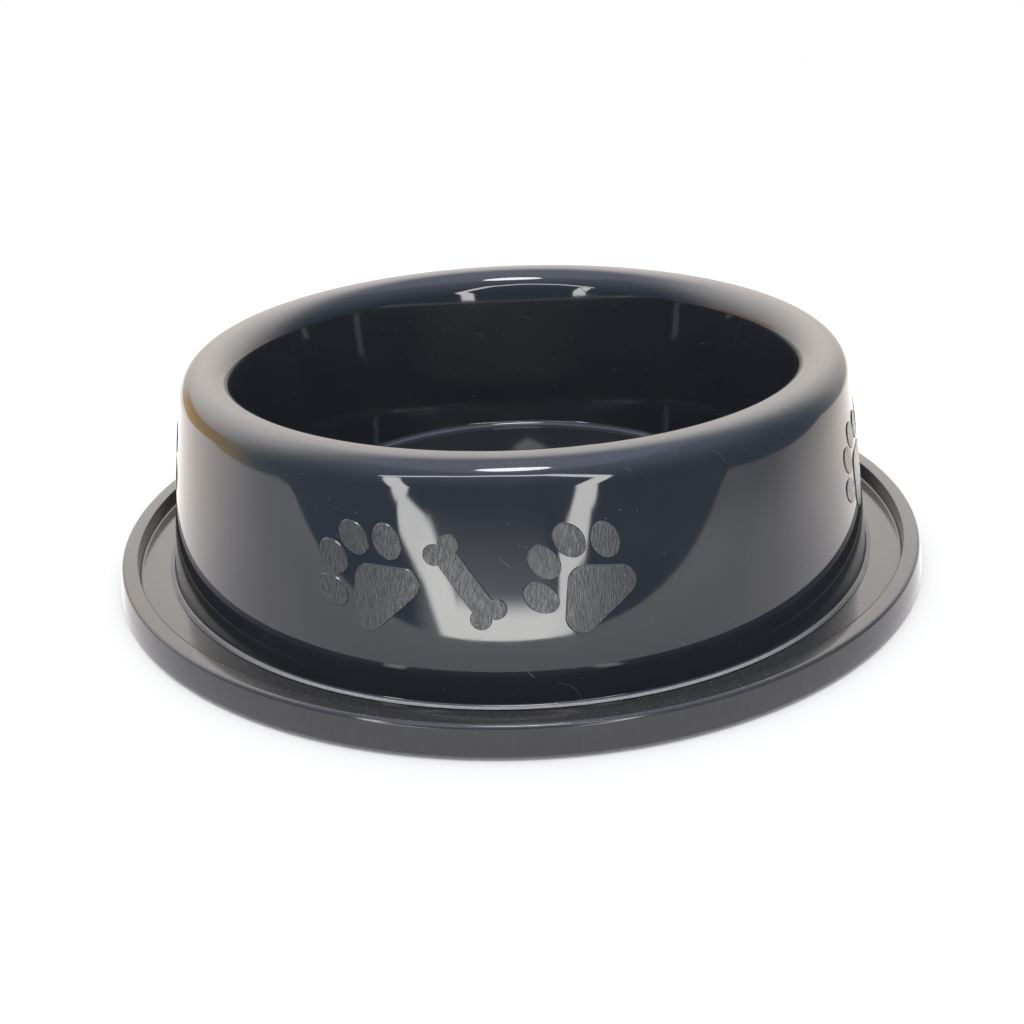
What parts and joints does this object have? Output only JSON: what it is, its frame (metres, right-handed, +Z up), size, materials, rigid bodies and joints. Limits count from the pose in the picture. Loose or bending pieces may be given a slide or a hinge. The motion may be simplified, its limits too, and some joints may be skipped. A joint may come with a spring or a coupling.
{
  "type": "pet feeding bowl",
  "caption": "Low round black pet feeding bowl with a rolled rim, flared skirt with paw prints and bones in relief, and a water moat round its foot that stops ants.",
  "frame": {"origin": "centre of the bowl, on the surface that its rubber feet stand on", "axes": "+Z up along the bowl's axis, -Y towards the front, where a bone lies just left of the middle"},
  "size_m": [0.2525, 0.2525, 0.065],
  "materials": {
    "bowl": "gloss",
    "tray": "satin",
    "screws": "zinc plated",
    "feet": "matte"
  },
  "bodies": {
    "root": {"bowl_shell": "bowl", "moat_tray": "tray", "tray_screws": "screws", "foot_1": "feet", "foot_2": "feet", "foot_3": "feet", "foot_4": "feet", "foot_5": "feet", "foot_6": "feet"}
  },
  "joints": []
}
